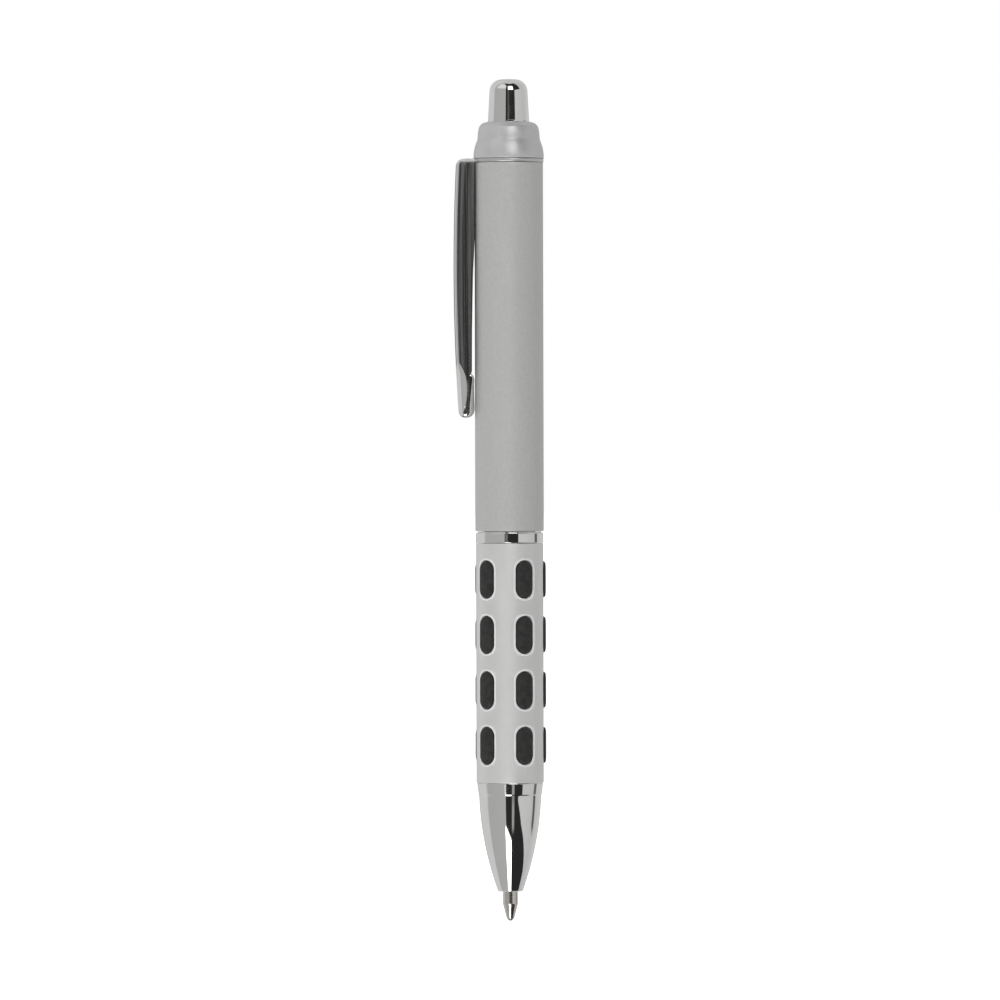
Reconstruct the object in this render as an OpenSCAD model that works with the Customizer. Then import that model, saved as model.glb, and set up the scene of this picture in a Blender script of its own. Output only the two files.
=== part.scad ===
// Retractable ballpoint pen with a rubber-pad grip, a spring clip and a push button.
// It stands on its writing point: +Z runs from the point to the button, and the clip is at -X.
// It is drawn ready to write, with the point out and the push button down.

/* [Writing point] */
// Diameter of the writing ball
ball_d = 1.0; // [0.8:0.1:1.0]
// Diameter of the refill's metal nose
point_d = 2.5; // [2.4:0.05:2.6]
// Length of the point that shows below the nose cone
point_out = 4.9; // [4.5:0.1:5.3]

/* [Refill] */
// Length of the refill, from the ball to its tail
refill_len = 98; // [97.5:0.1:98.3]
// Diameter of the refill's tube
refill_d = 5.8; // [5.6:0.1:5.9]
// Length of the tube that is filled with ink
ink_len = 49; // [5:1:58]

/* [Nose and grip] */
// Height of the nose cone
nose_h = 18.1; // [17.5:0.1:18.5]
// Diameter of the nose cone's front face
mouth_d = 3.9; // [3.7:0.1:4.2]
// Height of the grip shell
grip_h = 39.8; // [39.5:0.1:41]
// Diameter of the grip shell
grip_d = 11.2; // [11.1:0.1:11.6]
// Rubber pads round the grip
pad_columns = 5; // [4:1:5]
// Rubber pads along the grip
pad_rows = 4; // [1:1:4]
// Distance from one row of pads to the next
pad_pitch = 9.2; // [8:0.1:9.5]
// Height of a window in the grip shell
window_h = 6.3; // [5:0.1:6.5]
// Width of a window in the grip shell
window_w = 3.1; // [2.4:0.1:3.3]
// How far a pad stands out of the grip shell
pad_proud = 0.45; // [0:0.05:0.6]

/* [Upper half] */
// Height of the trim ring at the joint
ring_h = 1.9; // [1.5:0.1:3]
// Height of the upper barrel
barrel_h = 61.3; // [61:0.1:63]
// Diameter of the upper barrel
barrel_d = 11.4; // [11.4:0.1:12]
// Height of the collar above the clip's ring
collar_h = 6.1; // [5.6:0.1:6.5]
// Diameter of the collar's foot
collar_d = 11.7; // [11.4:0.1:12]
// Height of the push button above the collar, point out
button_h = 7.1; // [6:0.1:8]
// Diameter of the push button
button_d = 6.84; // [6.6:0.02:6.9]

/* [Clip] */
// Thickness of the clip's sheet steel
clip_t = 0.6; // [0.5:0.05:0.65]
// Width of the clip
clip_w = 4.8; // [4:0.1:5.5]
// Greatest distance from the pen's axis to the clip's face
clip_reach = 9.2; // [9.2:0.1:10]
// Length of the clip below its ring
clip_len = 42.4; // [38:0.2:44]

/* [Motion] */
// How far the point goes back in from its writing position
retract = 5.5; // [5:0.1:5.5]
// How far the button goes down past its writing position
overpress = 1.5; // [0.5:0.1:1.5]
// Lead of the screw thread between the halves
thread_pitch = 1.0; // [0.8:0.1:1.1]

/* [Hidden] */

$fn = 96;
eps = 0.01;
// Clearance of pieces that are pressed together, and of pieces that slide
press_gap = 0.02;
slide_gap = 0.08;

// Joints between the outer pieces, up the axis from the writing ball
z_mouth = point_out;
z_grip = z_mouth + nose_h;
z_grip_top = z_grip + grip_h;
z_ring = z_grip_top + 0.05;
z_ring_top = z_ring + ring_h;
z_barrel = z_ring_top + 0.05;
z_clip = z_barrel + barrel_h;
z_collar = z_clip + 0.7;
z_collar_top = z_collar + collar_h;
z_top = z_collar_top + button_h;

// Refill: the spring pushes on a shoulder, 18.2 mm from the ball
z_point_end = 6.0;
z_shank = 8.5;
z_shoulder = 18.2;
z_tube = 19.0;
z_ink = 23.0;
z_plug = refill_len - 8;
shank_r = 0.9;
neck_r = 1.7;
tube_wall = 0.3;
tube_r = refill_d / 2;
channel_r = 0.6;

// Nose cone: the spring's front seat, and the socket for the inner tube. The refill's neck and shoulder
// stay clear of them when the button is pressed past its writing position.
z_seat = 8.6;
z_neck = z_seat + overpress + 0.5;
z_socket = z_shoulder - overpress - 0.2;
seat_r = 2.5;
socket_r = 3.9;
crease = [5.2, z_grip - 2.0];
nose_back_r = 5.47;
z_boss = z_grip + 1.2;

// Inner tube, rubber sleeve and grip shell, one round the other
core_bore_r = 3.1;
core_r = 4.1;
shell_r = grip_d / 2;
shell_bore_r = shell_r - 0.5;
pad_r = shell_r + pad_proud;
pad_turn = 27;
z_first_pad = z_grip + 6.2;
z_flange = z_grip_top - 1.4;

// Screw thread between the halves: the ridges pass each other with side_gap between their crests and roots
thread_r = 4.7;
thread_depth = 0.4;
thread_turns = 6;
side_gap = 0.08;
relief_r = thread_r - thread_depth;
insert_bore_r = thread_r + side_gap;
z_thread = z_barrel + 0.6;
z_thread_top = z_thread + (thread_turns + 1.2) * thread_pitch;

// Upper barrel: the cam guide stops at a step in its bore
barrel_r = barrel_d / 2;
barrel_bore_r = 5.25;
z_step = z_clip - 7.2;
spigot_r = 4.6;

// Cam mechanism: four ribs guide the cams, and eight teeth turn the rotor
ribs = 4;
teeth = 8;
guide_bore_r = 4.15;
rib_face_r = 3.35;
rib_w = 2.0;
cam_r = 3.15;
lug_r = 4.0;
lug_w = 1.9;
tooth_h = 0.8;
pilot_r = 1.5;
z_guide = refill_len + 1.5;
z_ribs = refill_len + 5.9;
z_ribs_top = z_step - 1;
z_rotor = refill_len + 0.05;
z_crown = z_rotor + 6;
z_thrust = z_crown + tooth_h + 0.15;

// Push button: its flange stops under the collar's shoulder when the point is in
bore_top_r = button_d / 2 + slide_gap;
z_shoulder_stop = z_collar_top - 1.9;
z_flange_top = z_shoulder_stop - retract - 0.2;
z_button = z_flange_top - 1.3;
flange_r = 3.95;
collar_bore_r = 4.05;
stem_r = 2.6;
z_stem_top = z_button + 10;

// Clip: it bends where its tab ends, and touches the barrel with its folded foot
bend_x = 7.3;
bend_gap = 0.08;
z_sheet = z_clip + 0.05;
z_sheet_top = z_sheet + clip_t;
clip_corner_r = 1.2;
curl_r = 1.35;
z_clip_end = z_clip - clip_len;
foot_x = barrel_r + slide_gap;

// Points along an arc from a to b that bows out by rise to the right of the way from a to b
function arc(a, b, rise, steps = 8) =
  let(
    way = b - a,
    chord = norm(way),
    r = (chord * chord / 4 + rise * rise) / (2 * rise),
    right = [way[1], -way[0]] / chord,
    centre = (a + b) / 2 + right * (rise - r),
    start = atan2(a[1] - centre[1], a[0] - centre[0]),
    sweep = 2 * asin(chord / 2 / r)
  )
  [for (i = [0:steps]) centre + abs(r) * [cos(start + sweep * i / steps), sin(start + sweep * i / steps)]];

// A quarter round from [r, z] outward by size, up to the side and then in to the top
function shoulder(r, z, size) = arc([r, z - size], [r - size, z], size * (1 - sqrt(0.5)));

// A plain tube
module tube(outer, bore, z0, z1) {
  translate([0, 0, z0])
    difference() {
      cylinder(r = outer, h = z1 - z0);
      translate([0, 0, -eps]) cylinder(r = bore, h = z1 - z0 + 2 * eps);
    }
}

// What follows, repeated evenly round the axis
module around(count, first = 0) {
  for (i = [0:count - 1]) rotate(first + i * 360 / count) children();
}

// A right-handed helical ridge on a round wall: it stands out of the wall if depth is positive, and into
// the bore if it is negative. It is let into the wall a little, and runs out flat over half a turn at
// each end.
module thread_ridge(wall_r, depth, z, turns) {
  per_turn = 24;
  rings = round(turns * per_turn);
  let_in = depth > 0 ? 0.1 : -0.1;
  root = 0.4 * thread_pitch;
  crest = 0.15 * thread_pitch;
  points = [
    for (i = [0:rings])
      let(
        a = 360 * i / per_turn,
        up = z + thread_pitch * i / per_turn,
        fade = max(0.12, min(1, min(i, rings - i) * 2 / per_turn)),
        inner = wall_r - let_in,
        outer = wall_r + depth * fade
      )
      each [
        [inner * cos(a), inner * sin(a), up - root], [outer * cos(a), outer * sin(a), up - crest],
        [outer * cos(a), outer * sin(a), up + crest], [inner * cos(a), inner * sin(a), up + root]
      ]
  ];
  sides = [
    for (i = [0:rings - 1], k = [0:3])
      let(a = i * 4 + k, b = i * 4 + (k + 1) % 4)
        each depth > 0 ? [[a, b, a + 4], [b, b + 4, a + 4]] : [[a, a + 4, b], [b, a + 4, b + 4]]
  ];
  ends = depth > 0
    ? [[3, 2, 1, 0], [for (k = [0:3]) rings * 4 + k]]
    : [[0, 1, 2, 3], [for (k = [3:-1:0]) rings * 4 + k]];
  polyhedron(points, concat(sides, ends), convexity = 10);
}

// A ring of saw teeth between two heights, the points at height z + rise
module crown(bore, outer, z, rise) {
  step = 360 / teeth;
  around(teeth)
    intersection() {
      translate([0, 0, z - 5]) rotate_extrude(angle = step) translate([bore, 0]) square([outer - bore, 10]);
      translate([0, 0, z]) rotate([90, 0, step / 2 + 90])
        linear_extrude(height = 2 * outer, center = true)
          polygon([[-outer, -1], [outer, -1], [1.3, 0], [-0.9, rise], [-1.3, 0]]);
    }
}

// ---- Lower half ----

module nose_cone() {
  color("gainsboro")
    rotate_extrude()
      polygon(concat(
        [[point_d / 2 + 0.1, z_mouth], [mouth_d / 2, z_mouth]],
        arc([mouth_d / 2 + 0.12, z_mouth + 0.12], crease, 0.62, 16),
        [
          [nose_back_r, z_grip], [shell_bore_r - press_gap, z_grip], [shell_bore_r - press_gap, z_boss],
          [socket_r, z_boss], [socket_r, z_socket], [seat_r, z_socket], [seat_r, z_seat],
          [point_d / 2 + 0.1, z_seat]
        ]
      ));
}

// A pad or window: a slot with round ends that runs out from the axis
module slot(w, h) {
  rotate([90, 0, 0]) {
    for (end = [-1, 1]) translate([0, end * (h - w) / 2, 0]) cylinder(d = w, h = barrel_d);
    translate([-w / 2, -(h - w) / 2, 0]) cube([w, h - w, barrel_d]);
  }
}

// The slots of every pad, shrunk by gap all round
module slots(gap) {
  around(pad_columns, pad_turn)
    for (row = [0:pad_rows - 1])
      translate([0, 0, z_first_pad + row * pad_pitch]) slot(window_w - 2 * gap, window_h - 2 * gap);
}

module grip_shell() {
  color("silver")
    difference() {
      rotate_extrude()
        polygon([
          [shell_bore_r, z_grip], [shell_r - 0.1, z_grip], [shell_r, z_grip + 0.1],
          [shell_r, z_grip_top - 0.15], [shell_r - 0.15, z_grip_top], [shell_bore_r, z_grip_top]
        ]);
      difference() {
        slots(0);
        cylinder(r = core_r, h = z_grip_top);
      }
    }
}

module grip_liner() {
  color("dimgray") {
    tube(shell_bore_r - press_gap, core_r + press_gap, z_boss + press_gap, z_flange - press_gap);
    intersection() {
      slots(0.08);
      tube(pad_r, core_r + 0.5, z_grip, z_grip_top);
    }
  }
}

module lower_core() {
  color("darkslategray") {
    rotate_extrude()
      polygon([
        [core_bore_r, z_socket + 0.1], [socket_r - press_gap, z_socket + 0.1],
        [socket_r - press_gap, z_boss + press_gap], [core_r, z_boss + press_gap],
        [core_r, z_flange], [shell_bore_r - press_gap, z_flange],
        [shell_bore_r - press_gap, z_grip_top], [relief_r, z_grip_top],
        [relief_r, z_thread_top - 0.3], [relief_r - 0.3, z_thread_top], [core_bore_r, z_thread_top]
      ]);
    thread_ridge(relief_r, thread_depth, z_thread + 0.5, thread_turns);
  }
}

// Compression spring between the nose cone's seat and the refill's shoulder, with closed ends
module return_spring() {
  wire_r = 0.2;
  coil_r = 2.1;
  turns = 10;
  sides = 6;
  per_turn = 14;
  rings = turns * per_turn;
  z0 = z_seat + wire_r + 0.02;
  travel = z_shoulder - z_seat - 2 * wire_r - 0.04;
  closed = 1.02 * 2 * wire_r;
  // The first and last turns lie flat against their neighbours
  function rise(t) =
    t < 1 ? closed * t
    : t > turns - 1 ? travel - closed * (turns - t)
    : closed + (travel - 2 * closed) * (t - 1) / (turns - 2);
  points = [
    for (i = [0:rings], k = [0:sides - 1])
      let(a = 360 * i / per_turn, b = 360 * k / sides, r = coil_r + wire_r * cos(b))
        [r * cos(a), r * sin(a), z0 + rise(i / per_turn) + wire_r * sin(b)]
  ];
  sheath = [
    for (i = [0:rings - 1], k = [0:sides - 1])
      let(a = i * sides + k, b = i * sides + (k + 1) % sides, up = sides)
        each [[a, a + up, b + up], [a, b + up, b]]
  ];
  ends = [[for (k = [0:sides - 1]) k], [for (k = [sides - 1:-1:0]) rings * sides + k]];
  color("lightgray") polyhedron(points, concat(sheath, ends), convexity = 12);
}

// ---- Refill ----

module tip_socket() {
  color("lightgray")
    difference() {
      rotate_extrude()
        polygon([
          [0, 0.32], [ball_d / 2 + 0.04, 0.32], [point_d / 2, 2.8], [point_d / 2, z_point_end],
          [shank_r - press_gap, z_point_end], [shank_r - press_gap, z_shank], [0, z_shank]
        ]);
      translate([0, 0, ball_d / 2]) sphere(d = ball_d + 0.04);
      cylinder(r = 0.3, h = z_shank + eps);
    }
}

module writing_ball() {
  color("whitesmoke") translate([0, 0, ball_d / 2]) sphere(d = ball_d);
}

module tip_holder() {
  color("goldenrod")
    rotate_extrude()
      polygon([
        [shank_r, z_point_end], [point_d / 2, z_point_end], [point_d / 2, z_neck - 0.4], [neck_r, z_neck],
        [neck_r, z_shoulder], [tube_r, z_shoulder], [tube_r, z_tube - press_gap],
        [tube_r - tube_wall - press_gap, z_tube - press_gap], [tube_r - tube_wall - press_gap, z_ink],
        [channel_r, z_ink], [channel_r, z_shank + press_gap], [shank_r, z_shank + press_gap]
      ]);
}

module refill_tube() {
  color("silver") tube(tube_r, tube_r - tube_wall, z_tube, z_plug);
}

module ink_column() {
  color("midnightblue")
    translate([0, 0, z_ink + press_gap])
      cylinder(r = tube_r - tube_wall - press_gap, h = ink_len - press_gap);
}

// Clear grease that follows the ink down the tube
module ink_follower() {
  color("lightyellow")
    translate([0, 0, z_ink + ink_len + press_gap]) cylinder(r = tube_r - tube_wall - press_gap, h = 3);
}

module refill_plug() {
  color("white")
    difference() {
      rotate_extrude()
        polygon([
          [0.5, z_plug - 4], [tube_r - tube_wall - press_gap, z_plug - 4],
          [tube_r - tube_wall - press_gap, z_plug + press_gap], [tube_r, z_plug + press_gap],
          [tube_r, refill_len - 0.4], [tube_r - 0.4, refill_len], [0.5, refill_len]
        ]);
      around(6)
        translate([tube_r - 0.5, -0.35, refill_len - 4]) cube([1, 0.7, 5]);
    }
}

// ---- Upper half ----

module center_ring() {
  color("gainsboro")
    rotate_extrude()
      polygon([
        [thread_r + 0.15, z_ring], [shell_r - 0.1, z_ring], [shell_r, z_ring + 0.1],
        [shell_r, z_ring_top - 0.3], [shell_r - 0.1, z_ring_top - 0.2],
        [shell_r - 0.3, z_ring_top - 0.2], [shell_r - 0.3, z_ring_top], [thread_r + 0.15, z_ring_top]
      ]);
}

module upper_barrel() {
  color("silver")
    rotate_extrude()
      polygon(concat(
        [[barrel_bore_r, z_barrel]],
        arc([barrel_r - 0.25, z_barrel], [barrel_r, z_barrel + 0.25], 0.07),
        [
          [barrel_r, z_clip], [spigot_r + press_gap, z_clip], [spigot_r + press_gap, z_step],
          [barrel_bore_r, z_step]
        ]
      ));
}

module upper_thread_insert() {
  color("goldenrod") {
    tube(barrel_bore_r - press_gap, insert_bore_r, z_thread - 0.1, z_thread_top + 2);
    thread_ridge(insert_bore_r, side_gap - thread_depth, z_thread + 0.5 + 0.5 * thread_pitch, 4);
  }
}

// Sleeve with four ribs: the rotor's lugs run between them, or catch under their sloping ends
module cam_guide() {
  color("white") {
    tube(barrel_bore_r - press_gap, guide_bore_r, z_guide, z_step - press_gap);
    around(ribs, 45)
      translate([rib_face_r, 0, 0]) rotate([90, 0, 90])
        linear_extrude(height = guide_bore_r + 0.3 - rib_face_r)
          polygon([
            [-rib_w / 2, z_ribs], [rib_w / 2, z_ribs + 1.2], [rib_w / 2, z_ribs_top],
            [-rib_w / 2, z_ribs_top]
          ]);
  }
}

module top_collar() {
  waist = [collar_d / 2 - 0.62, z_collar + 3.0];
  color("silver")
    rotate_extrude()
      polygon(concat(
        [[collar_bore_r, z_step + press_gap], [spigot_r, z_step + press_gap], [spigot_r, z_collar]],
        [[collar_d / 2 - 0.1, z_collar]],
        arc([collar_d / 2, z_collar + 0.1], waist, 0.12),
        arc([waist[0] - 0.04, waist[1] + 0.05], [waist[0] - 0.06, z_collar_top - 1.2], 0.03, 4),
        shoulder(waist[0] - 0.08, z_collar_top, 1.1),
        [
          [bore_top_r, z_collar_top], [bore_top_r, z_shoulder_stop], [collar_bore_r, z_shoulder_stop]
        ]
      ));
}

module clip_ring() {
  color("gainsboro") {
    tube(barrel_r + 0.1, spigot_r + press_gap, z_sheet, z_sheet_top);
    translate([-bend_x, -clip_w / 2, z_sheet]) cube([bend_x - spigot_r - 0.5, clip_w, clip_t]);
  }
}

// Side view of the clip, with x measured out from the pen's axis
module clip_face_side() {
  face_top = [clip_reach - 0.4, z_sheet_top - clip_corner_r];
  face_end = [clip_reach - 0.75, z_clip_end + curl_r];
  inner_top = face_top - [clip_t, 0];
  inner_end = face_end - [clip_t, 0];
  polygon(concat(
    [[bend_x + bend_gap, z_sheet_top]],
    arc(face_top + clip_corner_r * [-1, 1], face_top, -0.29 * clip_corner_r),
    arc(face_top, face_end, -0.57, 16),
    arc(inner_end, inner_top, 0.57, 16),
    [inner_top + [-0.2, 0.5], [bend_x + bend_gap, z_sheet]]
  ));
}

// Side view of the foot: the sheet curls round the end of the clip and comes back up to the barrel
module clip_foot_side() {
  curl = [clip_reach - 0.75 - curl_r, z_clip_end + curl_r];
  foot_t = 0.45;
  difference() {
    translate(curl) circle(r = curl_r);
    translate(curl) circle(r = curl_r - foot_t);
    translate([0, curl[1]]) square([20, 5]);
  }
  polygon([
    curl - [curl_r, 0], curl - [curl_r - foot_t, 0], [foot_x + 0.9, z_clip_end + 5.6],
    [foot_x + 0.75, z_clip_end + 7.3], [foot_x + 0.3, z_clip_end + 7.1], [foot_x, z_clip_end + 6.4],
    [foot_x + 0.3, z_clip_end + 5.6]
  ]);
}

// Side view of one side wall
module clip_wall_side() {
  polygon([
    [clip_reach - 0.6, z_sheet], [bend_x + bend_gap, z_sheet], [barrel_r + 0.35, z_sheet - 0.6],
    [barrel_r + 0.3, z_clip - 16], [barrel_r + 0.75, z_clip_end + 7.6], [barrel_r + 1.5, z_clip_end + 5.6],
    [barrel_r + 1.3, z_clip_end + 3], [clip_reach - 1.3, z_clip_end + 1.5], [clip_reach - 0.3, z_clip - 15]
  ]);
}

module clip_blade() {
  wall_t = 0.5;
  color("gainsboro")
    intersection() {
      mirror([1, 0, 0]) rotate([90, 0, 0]) {
        linear_extrude(height = clip_w, center = true) clip_face_side();
        linear_extrude(height = clip_w - 2 * wall_t - 0.6, center = true) clip_foot_side();
        for (side = [-1, 1])
          translate([0, 0, side * (clip_w - wall_t) / 2])
            linear_extrude(height = wall_t, center = true) clip_wall_side();
      }
      rotate([90, 0, -90])
        linear_extrude(height = 2 * clip_reach) {
          translate([0, z_clip_end + clip_w / 2]) circle(d = clip_w);
          translate([-clip_w / 2, z_clip_end + clip_w / 2]) square([clip_w, clip_len + 5]);
        }
    }
}

// ---- Cam mechanism and push button ----

module rotor_cam() {
  z_lug = z_rotor + 2.4;
  color("lightsteelblue")
    difference() {
      union() {
        translate([0, 0, z_rotor]) cylinder(r = cam_r - 0.2, h = z_crown - z_rotor);
        crown(pilot_r + 0.1, cam_r - 0.2, z_crown - eps, tooth_h);
        around(ribs)
          translate([cam_r - 0.6, 0, 0]) rotate([90, 0, 90])
            linear_extrude(height = lug_r - cam_r + 0.45)
              polygon([
                [-lug_w / 2, z_lug], [lug_w / 2, z_lug], [lug_w / 2, z_lug + 3.1],
                [-lug_w / 2, z_lug + 2]
              ]);
      }
      translate([0, 0, z_rotor + 2]) cylinder(r = pilot_r + 0.1, h = 10);
    }
}

module thrust_cam() {
  color("lightsteelblue") {
    translate([0, 0, z_thrust + tooth_h]) cylinder(r = cam_r, h = z_button - press_gap - z_thrust - tooth_h);
    translate([0, 0, z_thrust + tooth_h + eps]) mirror([0, 0, 1]) crown(pilot_r, cam_r, 0, tooth_h);
    translate([0, 0, z_thrust - 2.6]) cylinder(r = pilot_r, h = 5);
    translate([0, 0, z_button - 1]) cylinder(r = stem_r, h = z_stem_top - z_button + 1);
    around(ribs)
      translate([cam_r - 0.6, -lug_w / 2, z_thrust + 2]) cube([lug_r - cam_r + 0.45, lug_w, 6]);
  }
}

module push_button() {
  top_r = button_d / 2 - 0.22;
  color("gainsboro")
    rotate_extrude()
      polygon(concat(
        [
          [stem_r + press_gap, z_button], [flange_r, z_button], [flange_r, z_flange_top],
          [button_d / 2, z_flange_top], [button_d / 2, z_collar_top + 0.3]
        ],
        arc([top_r, z_top - 2.0], [top_r - 2.0, z_top], 2.0 * (1 - sqrt(0.5))),
        [[0, z_top], [0, z_stem_top + press_gap], [stem_r + press_gap, z_stem_top + press_gap]]
      ));
}

nose_cone();
grip_shell();
grip_liner();
lower_core();
return_spring();
tip_socket();
writing_ball();
tip_holder();
refill_tube();
ink_column();
ink_follower();
refill_plug();
center_ring();
upper_barrel();
upper_thread_insert();
cam_guide();
top_collar();
clip_ring();
clip_blade();
rotor_cam();
thrust_cam();
push_button();
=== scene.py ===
"""The looks of a retractable ballpoint pen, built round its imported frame.

Outlines are (radius, height) in millimetres, as in the pen's drawing. Meshes are made in metres.
"""
import math

import bmesh
import bpy
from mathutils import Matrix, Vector


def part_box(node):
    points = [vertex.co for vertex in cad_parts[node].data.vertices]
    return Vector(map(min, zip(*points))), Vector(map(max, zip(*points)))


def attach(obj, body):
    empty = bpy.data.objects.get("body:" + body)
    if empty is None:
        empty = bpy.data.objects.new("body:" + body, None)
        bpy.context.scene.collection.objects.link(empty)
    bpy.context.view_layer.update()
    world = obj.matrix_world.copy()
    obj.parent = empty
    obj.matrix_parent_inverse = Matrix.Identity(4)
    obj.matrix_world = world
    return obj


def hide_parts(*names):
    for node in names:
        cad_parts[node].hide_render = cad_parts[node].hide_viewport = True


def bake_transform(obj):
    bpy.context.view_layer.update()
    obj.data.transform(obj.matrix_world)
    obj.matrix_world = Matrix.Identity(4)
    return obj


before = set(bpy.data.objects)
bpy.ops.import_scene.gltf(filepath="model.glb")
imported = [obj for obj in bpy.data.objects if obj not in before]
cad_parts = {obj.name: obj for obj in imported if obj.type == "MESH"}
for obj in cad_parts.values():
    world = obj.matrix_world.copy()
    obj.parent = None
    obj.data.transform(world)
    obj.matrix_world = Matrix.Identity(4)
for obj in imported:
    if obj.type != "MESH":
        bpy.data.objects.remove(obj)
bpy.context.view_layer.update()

MM = 0.001

# ---- Places, from the frame ----


def foot(node):
    """Height of a node's lowest point, in millimetres."""
    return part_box(node)[0].z / MM


def top(node):
    """Height of a node's highest point, in millimetres."""
    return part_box(node)[1].z / MM


def reach(node):
    """Greatest distance of a round node's wall from the axis, in millimetres."""
    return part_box(node)[1].x / MM


z_mouth = foot("nose_cone")
z_boss = top("nose_cone")
z_grip = foot("grip_shell")
z_grip_top = top("grip_shell")
z_ring = foot("center_ring")
z_ring_top = top("center_ring")
z_barrel = foot("upper_barrel")
z_clip = top("upper_barrel")
z_sheet = foot("clip_ring")
z_sheet_top = top("clip_ring")
z_collar = z_sheet_top + 0.05
z_collar_top = top("top_collar")
z_top = top("push_button")
shell_r = reach("grip_shell")
barrel_r = reach("upper_barrel")
pad_r = reach("grip_liner")

# ---- Outlines ----


def arc(start, end, bow, steps=8):
    """Points of an arc that bows out by bow to the right of the way from start to end."""
    start, end = Vector(start), Vector(end)
    way = end - start
    radius = (way.length ** 2 / 4 + bow ** 2) / (2 * bow)
    right = Vector((way.y, -way.x)).normalized()
    centre = (start + end) / 2 + right * (bow - radius)
    first = math.atan2(start.y - centre.y, start.x - centre.x)
    sweep = 2 * math.asin(way.length / 2 / radius)
    turns = [first + sweep * i / steps for i in range(steps + 1)]
    return [tuple(centre + abs(radius) * Vector((math.cos(a), math.sin(a)))) for a in turns]


def shoulder(radius, height, size, steps=10):
    """A quarter round up the side at radius and in to the top at height."""
    return arc((radius, height - size), (radius - size, height), size * (1 - math.sqrt(0.5)), steps)


def eased(outline, size=0.08, steps=4):
    """The closed outline with its sharp corners rounded off."""
    result = []
    for i, point in enumerate(outline):
        corner = Vector(point)
        back = Vector(outline[i - 1]) - corner
        on = Vector(outline[(i + 1) % len(outline)]) - corner
        if corner.x < 1e-6 or back.angle(-on) < math.radians(20):
            result.append(point)
            continue
        cut = min(size, 0.4 * back.length, 0.4 * on.length)
        start, end = corner + back.normalized() * cut, corner + on.normalized() * cut
        for k in range(steps + 1):
            t = k / steps
            result.append(tuple((1 - t) ** 2 * start + 2 * t * (1 - t) * corner + t ** 2 * end))
    return result


def held(outline, hold=0.04):
    """The closed outline with a point near each end of its long sides, so that they shade flat."""
    result = []
    for i, point in enumerate(outline):
        start, end = Vector(point), Vector(outline[(i + 1) % len(outline)])
        way = end - start
        result.append(point)
        if way.length > 12 * hold:
            step = way.normalized() * hold
            result += [tuple(start + step), tuple(end - step)]
    return result


def smooth(value, low, high):
    """0 below low, 1 above high, and a smooth way between them."""
    t = min(1, max(0, (value - low) / (high - low)))
    return t * t * (3 - 2 * t)


# ---- Mesh making ----


def on_axis(turn, radius, height):
    """The place, in metres, at an angle from the front, a radius and a height in millimetres."""
    return Vector((radius * math.sin(turn), -radius * math.cos(turn), height)) * MM


def skin(mesh, row, next_row, closed=True):
    """Faces between two rows of vertices; a row of one vertex is a pole."""
    count = max(len(row), len(next_row))
    for i in range(count if closed else count - 1):
        j = (i + 1) % count
        corners = [
            row[i % len(row)], row[j % len(row)],
            next_row[j % len(next_row)], next_row[i % len(next_row)],
        ]
        corners = list(dict.fromkeys(corners))
        if len(corners) > 2:
            mesh.faces.new(corners)


def solid(name, mesh, *materials, sharp=32):
    """The finished object from a bmesh: seams closed, faces outwards, corners above sharp kept."""
    bmesh.ops.remove_doubles(mesh, verts=mesh.verts, dist=2e-7)
    bmesh.ops.dissolve_degenerate(mesh, edges=mesh.edges, dist=1e-8)
    bmesh.ops.recalc_face_normals(mesh, faces=mesh.faces)
    data = bpy.data.meshes.new(name)
    mesh.to_mesh(data)
    mesh.free()
    data.polygons.foreach_set("use_smooth", [True] * len(data.polygons))
    data.set_sharp_from_angle(angle=math.radians(sharp))
    for finish in materials:
        data.materials.append(finish)
    made = bpy.data.objects.new(name, data)
    bpy.context.scene.collection.objects.link(made)
    return made


def turned(mesh, outline, segments=128, first=0.0, closed=True):
    """Adds an outline turned round the axis."""
    turns = [math.radians(first) + 2 * math.pi * i / segments for i in range(segments)]
    rows = [
        [mesh.verts.new(on_axis(a, radius, height)) for a in (turns if radius > 1e-6 else turns[:1])]
        for radius, height in outline
    ]
    following = rows[1:] + rows[:1] if closed else rows[1:]
    for row, next_row in zip(rows, following):
        if max(len(row), len(next_row)) > 1:
            skin(mesh, row, next_row)


def lathe(name, outline, *materials, segments=128, sharp=32):
    """A piece with one closed outline turned round the axis."""
    mesh = bmesh.new()
    turned(mesh, held(outline), segments)
    return solid(name, mesh, *materials, sharp=sharp)


def taken_apart(piece):
    """A bmesh copy of a piece's mesh; the piece itself is removed."""
    mesh = bmesh.new()
    mesh.from_mesh(piece.data)
    bpy.data.objects.remove(piece)
    return mesh


def fit(piece, body, slot, *nodes):
    """The piece rides on its body and stands for nodes, which are hidden; slot is not used."""
    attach(piece, body)
    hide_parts(*nodes)


# ---- Node trees ----


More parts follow.
